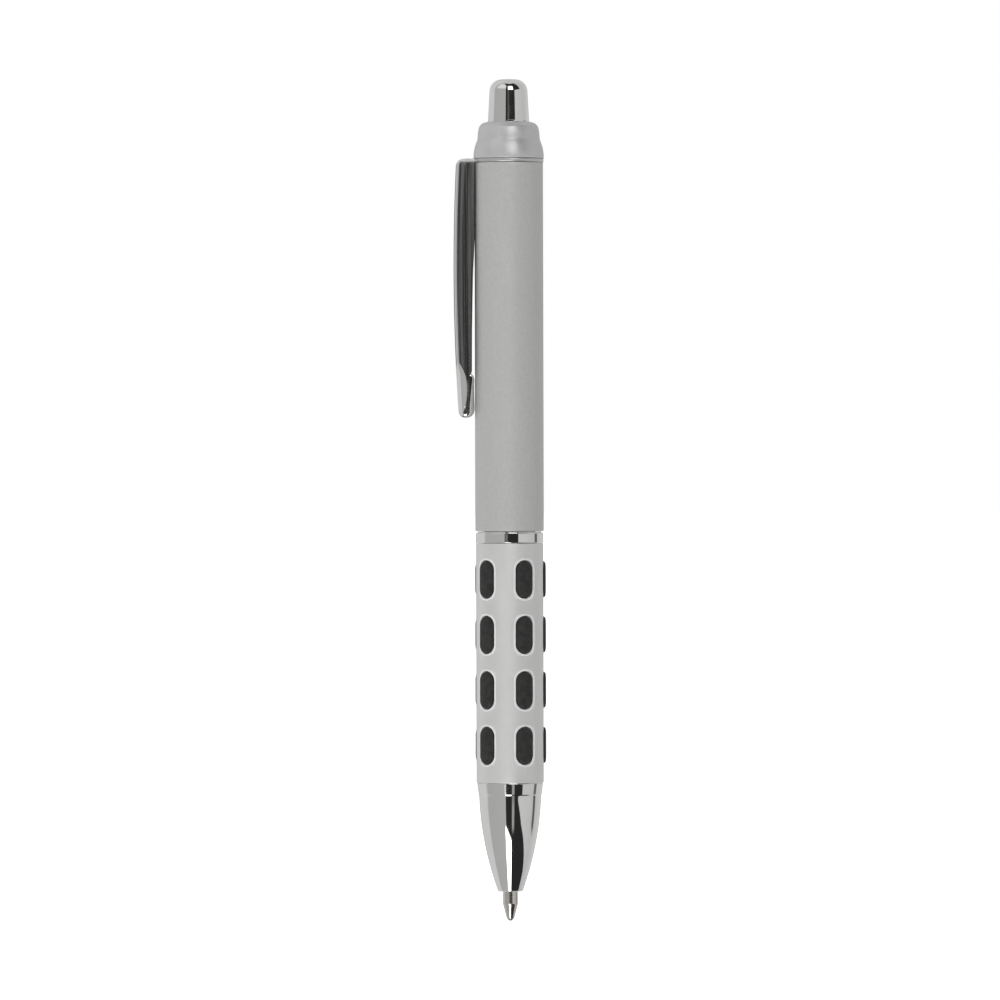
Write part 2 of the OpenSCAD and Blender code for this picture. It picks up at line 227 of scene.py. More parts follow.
class Graph:
    """Adds nodes to a tree and links them up."""

    def __init__(self, tree):
        self.tree = tree

    def node(self, kind, settings=None, **inputs):
        """A node; inputs are named by their sockets, with _ for a space, and take values or sockets."""
        made = self.tree.nodes.new(kind)
        for key, value in (settings or {}).items():
            setattr(made, key, value)
        for key, value in inputs.items():
            self.feed(made.inputs[key.replace("_", " ")], value)
        return made

    def feed(self, socket, value):
        if isinstance(value, bpy.types.NodeSocket):
            self.tree.links.new(value, socket)
        else:
            socket.default_value = value

    def math(self, operation, *values):
        made = self.tree.nodes.new("ShaderNodeMath")
        made.operation = operation
        for socket, value in zip(made.inputs, values):
            self.feed(socket, value)
        return made.outputs[0]

    def span(self, value, low, high, start=0.0, end=1.0, soft=True):
        """start where value is below low, end where it is above high, and between them in between."""
        kind = "SMOOTHSTEP" if soft else "LINEAR"
        made = self.node(
            "ShaderNodeMapRange", {"interpolation_type": kind, "clamp": True},
            Value=value, From_Min=low, From_Max=high, To_Min=start, To_Max=end,
        )
        return made.outputs[0]

    def ramp(self, value, stops):
        """A colour ramp; stops are (position, grey or colour)."""
        made = self.tree.nodes.new("ShaderNodeValToRGB")
        self.feed(made.inputs[0], value)
        elements = made.color_ramp.elements
        while len(elements) < len(stops):
            elements.new(1.0)
        for element, (place, tone) in zip(elements, stops):
            element.position = place
            element.color = (*tone, 1) if isinstance(tone, tuple) else (tone, tone, tone, 1)
        return made.outputs[0]


class Finish(Graph):
    """A material built up on its Principled shader, with patterns that sit still on the piece."""

    def __init__(self, name, **settings):
        self.material = bpy.data.materials.new(name)
        self.material.use_nodes = True
        super().__init__(self.material.node_tree)
        self.shader = self.tree.nodes["Principled BSDF"]
        for key, value in settings.items():
            self.shader.inputs[key.replace("_", " ")].default_value = value
        self.place = self.node("ShaderNodeTexCoord").outputs["Object"]

    def grain(self, size, detail=2.0, stretch=(1, 1, 1)):
        """Noise whose spots are about size millimetres across, drawn out along the axes by stretch."""
        scale = [1 / s for s in stretch]
        mapped = self.node("ShaderNodeMapping", Vector=self.place, Scale=scale).outputs[0]
        made = self.node("ShaderNodeTexNoise", Vector=mapped, Scale=1 / (size * MM), Detail=detail)
        return made.outputs[0]

    def colour(self, pattern, *stops):
        self.feed(self.shader.inputs["Base Color"], self.ramp(pattern, stops))
        return self

    def gloss(self, pattern, low, high):
        """Roughness from low to high with the pattern."""
        self.feed(self.shader.inputs["Roughness"], self.span(pattern, 0.3, 0.7, low, high))
        return self

    def relief(self, pattern, depth):
        """Bumps of depth millimetres."""
        made = self.node("ShaderNodeBump", Height=pattern, Strength=1.0, Distance=depth * MM)
        self.feed(self.shader.inputs["Normal"], made.outputs[0])
        return self


# ---- Finishes ----


def chrome():
    """Plated metal: a mirror with faint clouds of handling and fine polishing marks."""
    made = Finish("Bright chrome", Metallic=1.0)
    clouds = made.grain(1.6, 4.0, (1, 1, 1.8))
    marks = made.grain(0.035, 1.0, (1, 1, 60))
    made.colour(clouds, (0.3, (0.89, 0.89, 0.88)), (0.7, (0.93, 0.93, 0.915)))
    made.gloss(made.math("MULTIPLY_ADD", marks, 0.35, made.math("MULTIPLY", clouds, 0.65)), 0.02, 0.075)
    return made.relief(made.grain(2.4, 2.0), 0.0012).material


def grip_metal():
    """Matt anodised sleeve: a fine blasted grain under a satin sheen."""
    made = Finish("Matt anodised sleeve", Metallic=0.5, Specular_IOR_Level=0.6)
    blast = made.grain(0.06, 3.0)
    clouds = made.grain(3.0, 3.0)
    mixed = made.math("MULTIPLY_ADD", blast, 0.7, made.math("MULTIPLY", clouds, 0.3))
    made.colour(mixed, (0.3, (0.85, 0.85, 0.84)), (0.7, (0.93, 0.93, 0.92)))
    return made.gloss(mixed, 0.40, 0.50).relief(blast, 0.004).material


def window_edge():
    """The cut and tumbled edge of the sleeve's windows. Its near-white colour is the cut metal's own,
    and its faint emission is a painted glow, a painted highlight that lifts it above the matt face.
    """
    # The emission is painted light: the edge glows faintly as a painted highlight, though it is no lamp
    made = Finish(
        "Bright cut edge", Coat_Weight=1, Coat_Roughness=0.2, Emission_Color=(1, 1, 1, 1),
        Emission_Strength=0.1,
    )
    marks = made.grain(0.05, 2.0, (1, 1, 0.4))
    made.colour(marks, (0.3, (0.95, 0.95, 0.94)), (0.7, (0.98, 0.98, 0.97)))
    return made.gloss(marks, 0.24, 0.38).material


def lacquer():
    """Silver lacquer: metal flakes in a clear coat."""
    made = Finish("Silver flake lacquer", Metallic=0.25, Coat_Weight=0.4, Coat_Roughness=0.25)
    flakes = made.node(
        "ShaderNodeTexVoronoi", {"feature": "F1"}, Vector=made.place, Scale=1 / (0.07 * MM),
    ).outputs["Color"]
    flake = made.node("ShaderNodeRGBToBW", Color=flakes).outputs[0]
    clouds = made.grain(0.5, 3.0)
    mixed = made.math("MULTIPLY_ADD", flake, 0.5, made.math("MULTIPLY", clouds, 0.5))
    made.colour(mixed, (0.25, (0.61, 0.61, 0.60)), (0.75, (0.73, 0.73, 0.715)))
    return made.gloss(mixed, 0.42, 0.54).relief(clouds, 0.002).material


def pearl():
    """Satin plated plastic of the collar, with a bluish sheen."""
    made = Finish(
        "Pearly satin plastic", Metallic=0.45, Specular_IOR_Level=0.9, Specular_Tint=(0.93, 0.95, 1, 1),
    )
    specks = made.grain(0.08, 2.0)
    clouds = made.grain(2.0, 3.0)
    mixed = made.math("MULTIPLY_ADD", specks, 0.5, made.math("MULTIPLY", clouds, 0.5))
    made.colour(mixed, (0.3, (0.69, 0.69, 0.695)), (0.7, (0.775, 0.775, 0.78)))
    return made.gloss(mixed, 0.36, 0.46).relief(specks, 0.001).material


def spring_steel():
    """Plated sheet: a mirror drawn out into fine streaks along the clip."""
    made = Finish("Plated spring steel", Metallic=1.0)
    streaks = made.grain(0.3, 2.0, (1, 1, 90))
    clouds = made.grain(1.6, 4.0, (1, 1, 2))
    made.colour(clouds, (0.3, (0.88, 0.88, 0.865)), (0.7, (0.92, 0.92, 0.905)))
    return made.gloss(streaks, 0.05, 0.17).relief(streaks, 0.001).material


def rubber():
    """Matt black rubber with a moulded grain and a little dust."""
    made = Finish("Matt black rubber", Specular_IOR_Level=0.35, Sheen_Weight=0.08, Sheen_Roughness=0.5)
    moulded = made.grain(0.12, 3.0)
    dust = made.grain(0.9, 5.0)
    made.colour(dust, (0.35, (0.026, 0.026, 0.025)), (0.7, (0.044, 0.044, 0.042)))
    return made.gloss(moulded, 0.55, 0.78).relief(moulded, 0.012).material


def machined(name, dark, light, roughness, ring=0.09):
    """Turned metal with the tool's fine rings round the axis."""
    made = Finish(name, Metallic=1.0)
    rings = made.grain(ring, 2.0, (40, 40, 1))
    made.colour(rings, (0.3, dark), (0.7, light))
    return made.gloss(rings, roughness, roughness + 0.12).relief(rings, 0.002).material


def moulded(name, dark, light, roughness=0.4, see_through=0.0, grain=0.25):
    """Moulded plastic: an even colour with a shallow satin grain."""
    made = Finish(name, Transmission_Weight=see_through)
    spots = made.grain(grain, 3.0)
    made.colour(made.grain(2.5, 3.0), (0.3, dark), (0.7, light))
    return made.gloss(spots, roughness, roughness + 0.14).relief(spots, 0.004).material


def carbide():
    """The ground ball, with the pits that pick up ink."""
    made = Finish("Ground carbide ball", Metallic=0.9)
    cells = made.node("ShaderNodeTexVoronoi", Vector=made.place, Scale=1 / (0.05 * MM))
    pits = cells.outputs["Distance"]
    made.colour(pits, (0.0, (0.12, 0.12, 0.13)), (0.6, (0.34, 0.34, 0.35)))
    return made.gloss(pits, 0.14, 0.3).relief(pits, 0.003).material


CHROME = chrome()
CLIP_STEEL = spring_steel()
CUT_STEEL = machined("Cut steel edge", (0.70, 0.70, 0.69), (0.80, 0.80, 0.79), 0.34, 0.2)
GRIP = grip_metal()
EDGE = window_edge()
LACQUER = lacquer()
PEARL = pearl()
RUBBER = rubber()
POINT = machined("Turned nickel silver", (0.70, 0.67, 0.61), (0.80, 0.77, 0.71), 0.10, 0.05)
BRASS = machined("Turned brass", (0.70, 0.50, 0.20), (0.83, 0.63, 0.30), 0.18)
REFILL = machined("Drawn steel tube", (0.55, 0.55, 0.54), (0.66, 0.66, 0.65), 0.22, 0.3)
WIRE = machined("Spring wire", (0.48, 0.48, 0.48), (0.62, 0.62, 0.61), 0.20, 0.04)
BALL = carbide()
CORE = moulded("Dark grey nylon", (0.030, 0.030, 0.032), (0.045, 0.045, 0.048), 0.38)
CAM = moulded("Natural acetal", (0.60, 0.63, 0.66), (0.68, 0.71, 0.74), 0.28)
GUIDE = moulded("White acetal", (0.74, 0.74, 0.71), (0.82, 0.82, 0.79), 0.30)
PLUG = moulded("White plug", (0.70, 0.70, 0.69), (0.78, 0.78, 0.77), 0.35)
INK = moulded("Blue black ink", (0.004, 0.006, 0.030), (0.008, 0.012, 0.050), 0.12, 0.0, 0.8)
GREASE = moulded("Clear follower grease", (0.78, 0.74, 0.58), (0.86, 0.83, 0.68), 0.16, 0.55, 0.6)

# ---- Geometry Nodes ----


def grow(name, tree, values):
    """The plain mesh object that a tree makes from named values, and from a Source mesh if given."""
    start = values.pop("Source", None)
    made = bpy.data.objects.new(name, start or bpy.data.meshes.new(name))
    bpy.context.scene.collection.objects.link(made)
    modifier = made.modifiers.new("Shape", "NODES")
    modifier.node_group = tree
    for socket in tree.interface.items_tree:
        if socket.in_out == "INPUT" and socket.name in values:
            modifier[socket.identifier] = values[socket.name]
    evaluated = made.evaluated_get(bpy.context.evaluated_depsgraph_get())
    result = bpy.data.meshes.new_from_object(evaluated)
    made.modifiers.clear()
    made.data = result
    used = sorted({face.material_index for face in result.polygons})
    finishes = [result.materials[i] for i in used]
    indices = [used.index(face.material_index) for face in result.polygons]
    result.materials.clear()
    for finish in finishes:
        result.materials.append(finish)
    result.polygons.foreach_set("material_index", indices)
    return made


def new_tree(name, inputs):
    """An empty Geometry Nodes tree with named inputs: its graph, group input and group output."""
    tree = bpy.data.node_groups.new(name, "GeometryNodeTree")
    tree.interface.new_socket("Geometry", in_out="INPUT", socket_type="NodeSocketGeometry")
    for label, kind in inputs:
        tree.interface.new_socket(label, in_out="INPUT", socket_type="NodeSocket" + kind)
    tree.interface.new_socket("Geometry", in_out="OUTPUT", socket_type="NodeSocketGeometry")
    graph = Graph(tree)
    return graph, graph.node("NodeGroupInput").outputs, graph.node("NodeGroupOutput")


def repeat_tree():
    """Repeats the source mesh in columns round the axis and in rows up it."""
    graph, given, result = new_tree("Repeat round the pen", [
        ("Columns", "Int"), ("Rows", "Int"), ("Pitch", "Float"), ("First turn", "Float"),
        ("Face", "Material"), ("Edge", "Material"),
    ])
    index = graph.node("GeometryNodeInputIndex").outputs[0]
    column = graph.math("MODULO", index, given["Columns"])
    row = graph.math("FLOOR", graph.math("DIVIDE", graph.math("ADD", index, 0.5), given["Columns"]))
    lift = graph.node("ShaderNodeCombineXYZ", Z=graph.math("MULTIPLY", row, given["Pitch"]))
    step = graph.math("DIVIDE", 2 * math.pi, given["Columns"])
    turn = graph.node(
        "ShaderNodeCombineXYZ", Z=graph.math("MULTIPLY_ADD", column, step, given["First turn"])
    )
    count = graph.math("MULTIPLY", given["Columns"], given["Rows"])
    points = graph.node("GeometryNodePoints", Count=count)
    placed = graph.node("GeometryNodeSetPosition", Geometry=points.outputs[0], Position=lift.outputs[0])
    copies = graph.node(
        "GeometryNodeInstanceOnPoints",
        Points=placed.outputs[0], Instance=given["Geometry"], Rotation=turn.outputs[0],
    )
    real = graph.node("GeometryNodeRealizeInstances", Geometry=copies.outputs[0])
    faced = graph.node("GeometryNodeSetMaterial", Geometry=real.outputs[0], Material=given["Face"])
    is_edge = graph.node("GeometryNodeInputNamedAttribute", {"data_type": "BOOLEAN"}, Name="cut_edge")
    edged = graph.node(
        "GeometryNodeSetMaterial", Geometry=faced.outputs[0], Selection=is_edge.outputs[0],
        Material=given["Edge"],
    )
    graph.feed(result.inputs[0], edged.outputs[0])
    return graph.tree


def spring_tree():
    """A compression spring up the axis: its first and last turns lie closed against their neighbours."""
    labels = ("Coil radius", "Wire radius", "Turns", "Foot", "Length", "Closed turns")
    sizes = [(label, "Float") for label in labels]
    graph, given, result = new_tree("Compression spring", sizes + [("Finish", "Material")])
    coil = graph.node(
        "GeometryNodeCurveSpiral",
        Resolution=32, Rotations=given["Turns"], Start_Radius=given["Coil radius"],
        End_Radius=given["Coil radius"], Height=0.0, Reverse=False,
    )
    factor = graph.node("GeometryNodeSplineParameter").outputs["Factor"]
    turn = graph.math("MULTIPLY", factor, given["Turns"])
    wire = graph.math("MULTIPLY", given["Wire radius"], 2.04)
    both_ends = graph.math("MULTIPLY", given["Closed turns"], 2.0)
    open_turns = graph.math("SUBTRACT", given["Turns"], both_ends)
    flat = graph.math("MULTIPLY", both_ends, wire)
    rise = graph.math("SUBTRACT", graph.math("SUBTRACT", given["Length"], wire), flat)
    low = graph.math("MULTIPLY", graph.math("MINIMUM", turn, given["Closed turns"]), wire)
    last_open = graph.math("SUBTRACT", given["Turns"], given["Closed turns"])
    past = graph.math("SUBTRACT", turn, last_open)
    high = graph.math("MULTIPLY", graph.math("MAXIMUM", past, 0.0), wire)
    share = graph.math("DIVIDE", graph.math("SUBTRACT", turn, given["Closed turns"]), open_turns)
    middle = graph.math("MULTIPLY", graph.span(share, 0.0, 1.0, soft=False), rise)
    start = graph.math("MULTIPLY_ADD", given["Wire radius"], 1.02, given["Foot"])
    height = graph.math("ADD", graph.math("ADD", start, low), graph.math("ADD", middle, high))
    lift = graph.node("ShaderNodeCombineXYZ", Z=height)
    raised = graph.node("GeometryNodeSetPosition", Geometry=coil.outputs[0], Offset=lift.outputs[0])
    section = graph.node(
        "GeometryNodeCurvePrimitiveCircle", Resolution=12, Radius=given["Wire radius"],
    )
    wound = graph.node(
        "GeometryNodeCurveToMesh",
        Curve=raised.outputs[0], Profile_Curve=section.outputs[0], Fill_Caps=True,
    )
    real = graph.node("GeometryNodeRealizeInstances", Geometry=wound.outputs[0])
    done = graph.node("GeometryNodeSetMaterial", Geometry=real.outputs[0], Material=given["Finish"])
    graph.feed(result.inputs[0], done.outputs[0])
    return graph.tree


REPEAT = repeat_tree()

# ---- Nose and writing point ----

point_r = reach("tip_socket")
mouth_r = 1.95


def nose_cone():
    """The bowed cone, a crease, and the steeper band that meets the grip."""
    crease = (5.155, z_grip - 2.06)
    back_r, boss_r, boss_bore_r = 5.47, 5.08, 3.9
    spring_bore_r, spring_seat_z, spring_stop_z = 2.5, 8.6, 16.5
    point_bore_r = point_r + 0.1
    inner = [
        (back_r - 0.05, z_grip - 0.02), (boss_r, z_grip), (boss_r, z_boss), (boss_bore_r, z_boss),
        (boss_bore_r, spring_stop_z), (spring_bore_r, spring_stop_z), (spring_bore_r, spring_seat_z),
        (point_bore_r, spring_seat_z), (point_bore_r, z_mouth),
    ]
    outer = [(mouth_r, z_mouth)] + arc((mouth_r + 0.12, z_mouth + 0.12), crease, 0.62, 48)
    outer += [(crease[0] + 0.07, crease[1] + 0.12), (crease[0] + 0.077, crease[1] + 0.18)]
    outer += [(back_r, z_grip - 0.12), (back_r - 0.2, z_grip - 0.1)]
    return lathe("nose_cone_chrome", eased(outer + inner, 0.04), CHROME, segments=160, sharp=24)


def writing_tip():
    """The cone, its crimped rim and the shank, with the seat that holds the ball."""
    ball_r = reach("writing_ball")
    seat = [(0.3, 0.75), (0.3, 8.3), (0.0, 8.3), (0.0, 8.5), (0.86, 8.5), (0.88, 8.46), (0.88, 6.0)]
    side = [(point_r, 6.0), (point_r, 2.82), (0.64, 0.5), (0.6, 0.36), (ball_r + 0.03, 0.33)]
    return lathe("writing_tip", eased(seat + side, 0.05), POINT, segments=96, sharp=24)


def writing_ball():
    ball_r = reach("writing_ball")
    around = [math.pi * i / 24 for i in range(25)]
    outline = [(max(0.0, ball_r * math.sin(a)), ball_r - ball_r * math.cos(a)) for a in around]
    outline[0] = (0.0, outline[0][1])
    outline[-1] = (0.0, outline[-1][1])
    mesh = bmesh.new()
    turned(mesh, outline, 48, closed=False)
    return solid("writing_ball_carbide", mesh, BALL)


# ---- Grip ----

columns = 5
rows = 4
pad_pitch = 9.2
window_h = 6.3
window_w = 3.1
pad_gap = 0.11
first_turn = math.radians(27)
first_row = z_grip + 6.2
corner_share = 0.5
side_steps = 24
end_steps = 20
shell_bore_r = shell_r - 0.5
sleeve_steps = columns * end_steps


def cell_rim():
    """Points of a cell's edge, as shares of its half width and half height, from the lower right."""
    right = [(1, -1 + 2 * i / side_steps) for i in range(side_steps)]
    top_row = [(1 - 2 * i / end_steps, 1) for i in range(end_steps)]
    left = [(-1, 1 - 2 * i / side_steps) for i in range(side_steps)]
    bottom = [(-1 + 2 * i / end_steps, -1) for i in range(end_steps)]
    return right + top_row + left + bottom


def slot_rim(width, height):
    """Points of a slot with round ends, facing those of cell_rim: chord and height, in millimetres."""
    radius = width / 2
    straight = height / 2 - radius
    points = []
    for x, y in cell_rim():
        if abs(x) == 1 and abs(y) <= corner_share:
            points.append((x * radius, y / corner_share * straight))
            continue
        if abs(x) == 1:
            lean = math.radians(45 * (abs(y) - corner_share) / (1 - corner_share))
        else:
            lean = math.radians(90 - abs(x) * 45)
        rise = math.copysign(straight + radius * math.sin(lean), y)
        points.append((math.copysign(radius * math.cos(lean), x) if abs(x) > 1e-9 else 0.0, rise))
    return points


def wrapped(chord, height, radius):
    """The place on a round wall of a point at a distance from the middle plane of its column."""
    return on_axis(math.asin(max(-1, min(1, chord / radius))), radius, height)


def grip_sleeve():
    """The anodised tube: a cell with one window, repeated, and a plain band at each end."""
    mesh = bmesh.new()
    cut_edge = mesh.faces.layers.bool.new("cut_edge")
    half_turn = math.pi / columns
    rim = cell_rim()
    round_r = 0.2

    def wall_row(radius, spread):
        hole_row = slot_rim(window_w + 2 * spread, window_h + 2 * spread)
        return [mesh.verts.new(wrapped(c, h, radius)) for c, h in hole_row]

    def face_row(radius, share, spread):
        row = []
        wide = slot_rim(window_w + 2 * spread, window_h + 2 * spread)
        for (c, h), (x, y) in zip(wide, rim):
            turn = math.asin(c / radius) * (1 - share) + x * half_turn * share
            height = h * (1 - share) + y * pad_pitch / 2 * share
            row.append(mesh.verts.new(on_axis(turn, radius, height)))
        return row

    edge_steps = 5
    edge_rows = []
    for k in range(edge_steps + 1):
        lean = math.radians(90 * k / edge_steps)
        drop = round_r * (1 - math.cos(lean))
        edge_rows.append(wall_row(shell_r - drop, round_r - round_r * math.sin(lean)))
    shares = [0.12, 0.3, 0.5, 0.75, 1.0]
    outer = [face_row(shell_r, s, round_r) for s in reversed(shares)]
    inner = [face_row(shell_bore_r, s, 0.02) for s in shares]
    walls = [wall_row(shell_bore_r + 0.05, 0.0), wall_row(shell_bore_r, 0.03)]
    every = outer + edge_rows + walls + inner
    first_edge = len(outer)
    for i, (row, next_row) in enumerate(zip(every, every[1:])):
        before = len(mesh.faces)
        skin(mesh, row, next_row)
        mesh.faces.ensure_lookup_table()
        for face in mesh.faces[before:]:
            face[cut_edge] = first_edge - 1 <= i < first_edge + edge_steps
    source = bpy.data.meshes.new("sleeve cell")
    bmesh.ops.translate(mesh, verts=mesh.verts, vec=(0, 0, first_row * MM))
    mesh.to_mesh(source)
    mesh.free()
    cells = grow("grip_sleeve_cells", REPEAT, {
        "Source": source, "Columns": columns, "Rows": rows, "Pitch": pad_pitch * MM,
        "First turn": first_turn, "Face": GRIP, "Edge": EDGE,
    })
    order = [m.name for m in cells.data.materials]
    mesh = taken_apart(cells)
    low = first_row - pad_pitch / 2
    high = low + rows * pad_pitch
    start = math.degrees(first_turn) + 180 / columns
    bottom = [(shell_r, low), (shell_r, z_grip + 0.1)] + shoulder_down(shell_r, z_grip, 0.1)
    bottom += [(shell_bore_r, z_grip), (shell_bore_r, low)]
    crown = [(shell_bore_r, high), (shell_bore_r, z_grip_top)]
    crown += list(reversed(shoulder(shell_r, z_grip_top, 0.15, 5))) + [(shell_r, high)]
    for band in (bottom, crown):
        before = len(mesh.faces)
        turned(mesh, band, sleeve_steps, start, closed=False)
        mesh.faces.ensure_lookup_table()
        for face in mesh.faces[before:]:
            face.material_index = order.index(GRIP.name)
    bmesh.ops.remove_doubles(mesh, verts=mesh.verts, dist=4e-6)
    return solid("grip_sleeve", mesh, *[bpy.data.materials[m] for m in order], sharp=40)


def shoulder_down(radius, height, size, steps=5):
    """A quarter round from the side at radius down and in to the foot at height."""
    return [(r, 2 * height - z) for r, z in shoulder(radius, height, size, steps)]


def grip_pads():
    """The rubber sleeve inside the grip, with one domed pad through each window."""
    mesh = bmesh.new()
    width, height = window_w - 2 * pad_gap, window_h - 2 * pad_gap
    round_r, round_steps = 0.42, 7
    sections = [(4.75, 0.0), (5.25, 0.0)]
    for k in range(round_steps + 1):
        lean = math.radians(90 * k / round_steps)
        sections.append((pad_r - 0.05 - round_r * (1 - math.sin(lean)), -round_r * (1 - math.cos(lean))))
    sections += [(pad_r - 0.03, -0.6), (pad_r - 0.01, -0.9), (pad_r, -1.2), (pad_r, -width / 2)]
    every = []
    for radius, spread in sections:
        outline = slot_rim(width + 2 * spread, height + 2 * spread)
        every.append([mesh.verts.new(wrapped(c, h, radius)) for c, h in outline])
    for row, next_row in zip(every, every[1:]):
        skin(mesh, row, next_row)
    mesh.faces.new(list(reversed(every[0])))
    source = bpy.data.meshes.new("pad")
    bmesh.ops.translate(mesh, verts=mesh.verts, vec=(0, 0, first_row * MM))
    bmesh.ops.remove_doubles(mesh, verts=mesh.verts, dist=1e-6)
    mesh.to_mesh(source)
    mesh.free()
    pads = grow("grip_pad_repeats", REPEAT, {
        "Source": source, "Columns": columns, "Rows": rows, "Pitch": pad_pitch * MM,
        "First turn": first_turn, "Face": RUBBER, "Edge": RUBBER,
    })
    mesh = taken_apart(pads)
    base, bore = shell_bore_r - 0.03, 4.12
    low, high = z_boss + 0.02, z_grip_top - 1.42
    turned(mesh, eased([(base, low), (base, high), (bore, high), (bore, low)], 0.05), 128)
    return solid("grip_pads", mesh, RUBBER, sharp=40)


# ---- Upper half ----

collar_seat_r = 4.62
collar_seat_h = 7.2
barrel_bore_r = 5.25


def center_ring():
    """The trim ring, with a narrow neck under the barrel."""
    wall_r = reach("center_ring")
    neck_r, ring_bore_r = wall_r - 0.3, 4.85
    outline = [
        (ring_bore_r, z_ring), (wall_r - 0.06, z_ring), (wall_r, z_ring + 0.06),
        (wall_r, z_ring_top - 0.28), (wall_r - 0.08, z_ring_top - 0.2), (neck_r, z_ring_top - 0.19),
        (neck_r, z_ring_top), (ring_bore_r, z_ring_top),
    ]
    return lathe("trim_ring_chrome", eased(outline, 0.05), CHROME, segments=160, sharp=24)


def upper_barrel():
    rounded = arc((barrel_r - 0.22, z_barrel), (barrel_r, z_barrel + 0.22), 0.06, 6)
    outline = [(barrel_bore_r, z_barrel)] + rounded
    outline += [(barrel_r, z_barrel + 0.5 + (z_clip - z_barrel - 1) * i / 12) for i in range(13)]
    outline += arc((barrel_r, z_clip - 0.08), (barrel_r - 0.08, z_clip), 0.02, 4)
    seat = z_clip - collar_seat_h
    outline += [(collar_seat_r, z_clip), (collar_seat_r, seat), (barrel_bore_r, seat)]
    return lathe("barrel_tube", outline, LACQUER, segments=160)


def top_collar():
    """The satin collar: a swelling foot, a waist, and a top that leans in round the button."""
    waist = (5.23, z_collar + 3.05)
    low, bore_r, stem_r, mouth_depth = z_clip - collar_seat_h + 0.02, 4.05, collar_seat_r - 0.04, 1.9
    outline = [(bore_r, low), (stem_r, low), (stem_r, z_collar)]
    outline += arc((5.75, z_collar), (5.85, z_collar + 0.1), 0.03, 4)
    outline += arc((5.85, z_collar + 0.16), waist, 0.16, 16)
    outline += arc((waist[0] - 0.04, waist[1] + 0.08), (5.03, z_collar_top - 1.3), 0.03, 6)
    outline += arc((5.0, z_collar_top - 1.2), (4.1, z_collar_top - 0.12), 0.2, 12)
    outline += [(3.56, z_collar_top), (3.5, z_collar_top - 0.06), (3.5, z_collar_top - mouth_depth)]
    outline += [(bore_r, z_collar_top - mouth_depth)]
    return lathe("collar_satin", outline, PEARL, segments=160, sharp=50)


def push_button():
    """The tapered button with its domed top, and the flange that holds it in the collar."""
    flange = foot("push_button")
    flange_r, flange_h, bore_r, bore_top = 3.95, 1.3, 2.62, z_top - 5.68
    side_r, dome = 3.42, 2.0
    top_r = side_r - 0.28
    outline = [
        (bore_r, flange), (flange_r, flange), (flange_r, flange + flange_h), (side_r, flange + flange_h),
    ]
    outline += [(side_r, z_collar_top + 0.3)]
    outline = eased(outline, 0.08)
    outline += arc((top_r, z_top - dome), (top_r - dome, z_top - 0.03), 0.585, 24)
    outline += [(0.8, z_top - 0.008), (0.4, z_top - 0.001), (0.0, z_top), (0.0, bore_top)]
    outline += [(bore_r, bore_top)]
    return lathe("push_button_chrome", outline, CHROME, segments=160, sharp=30)


# ---- Clip ----

clip_low = foot("clip_blade")
clip_corner = (7.6, z_sheet_top - 1.2)
clip_corner_r = 1.2
clip_bow = 0.58
curl = (7.1, clip_low + 1.35)
curl_r = 1.35
face_end_x = curl[0] + curl_r
face_top_x = clip_corner[0] + clip_corner_r
clip_half = 2.2
spoon_half = 2.4
clip_sheet = 0.6
bulge = 0.14
z_spoon = curl[1] + 4.1
z_spoon_top = z_spoon + 3.9
# Lean of the side wall, in degrees, at distances behind the face: it is pressed in shallow waves
WALL_WAVES = ((0.7, 0.0), (1.1, 2.8), (1.5, 1.8), (1.95, 0.1), (2.4, 1.5), (3.0, 1.9), (3.4, 1.2))
# Distance of the wall's inner edge from the pen's axis, at heights above the clip's end
WALL_EDGE = ((30.3, 5.68), (26.3, 5.85), (24.3, 5.97), (20.3, 6.06), (14.3, 6.17), (8.3, 6.2))


def along(table, place):
    """The value at a place between a table's entries, which run up or down."""
    for (near, first), (far, last) in zip(table, table[1:]):
        share = (place - near) / (far - near)
        if share < 0:
            return first
        if share <= 1:
            return first + (last - first) * share
    return table[-1][1]


def flare(depth):
    """How far the side wall has spread at a distance behind the face."""
    spread = 0.0
    for (near, first), (far, last) in zip(WALL_WAVES, WALL_WAVES[1:]):
        share = min(1.0, max(0.0, (depth - near) / (far - near)))
        spread += math.tan(math.radians(first + (last - first) * share / 2)) * (far - near) * share
    return spread


def clip_crown(z, inset=0.0):
    """Distance of the clip's face from the pen's axis at a height."""
    if z > clip_corner[1]:
        size = clip_corner_r - inset
        return clip_corner[0] + math.sqrt(max(0.0, size ** 2 - (z - clip_corner[1]) ** 2))
    if z < curl[1]:
        size = curl_r - inset
        drop = min(1.0, (curl[1] - z) / size)
        return curl[0] + size * (1 - drop ** 2.5) ** 0.4
    share = (z - curl[1]) / (clip_corner[1] - curl[1])
    bowed = 4 * clip_bow * share * (1 - share)
    return face_end_x + (face_top_x - face_end_x) * share + bowed - inset


def skirt_depth(z):
    """How far the spoon's domed skirt comes back from its face; above it, the depth of the fold."""
    if z <= z_spoon:
        return max(0.12, 1.86 - 0.052 * (z_spoon - z) ** 2)
    share = min(1.0, (z - z_spoon) / (z_spoon_top - z_spoon))
    return max(0.6, 0.5 + 1.36 * (1 - share ** 1.8))


